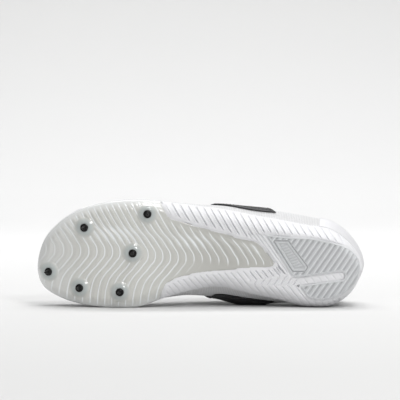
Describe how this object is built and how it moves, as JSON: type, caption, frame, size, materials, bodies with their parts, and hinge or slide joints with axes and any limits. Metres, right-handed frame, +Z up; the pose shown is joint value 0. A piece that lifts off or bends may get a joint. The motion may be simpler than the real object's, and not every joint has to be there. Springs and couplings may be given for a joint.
{
  "type": "track spike shoe",
  "caption": "Left track spike shoe lying on its inner side: ribbed foam sole, clear spike plate, heel rubber and a hollow laced upper.",
  "frame": {"origin": "bottom centre of the bounding box, on the floor that the shoe lies on", "axes": "+Z up from the floor; the sole faces -Y; the toe points to -X; the lateral side of the shoe is up"},
  "size_m": [0.2866, 0.1114, 0.0939],
  "materials": {
    "plate": "clear gloss",
    "spike": "satin black",
    "foam": "matt moulded foam",
    "rubber": "matt",
    "mesh": "woven mesh",
    "panel": "smooth film",
    "trim": "smooth film",
    "lining": "brushed",
    "lace": "braided"
  },
  "bodies": {
    "root": {"spike_plate": "plate", "spike_1": "spike", "spike_2": "spike", "spike_3": "spike", "spike_4": "spike", "spike_5": "spike", "spike_6": "spike", "midsole": "foam", "heel_outsole": "rubber", "upper": "mesh", "tongue": "mesh", "insole": "lining", "laces": "lace", "side_panel_lateral": "panel", "side_panel_medial": "panel", "heel_counter": "trim", "toe_cap": "trim", "eyestay": "trim"}
  },
  "joints": []
}
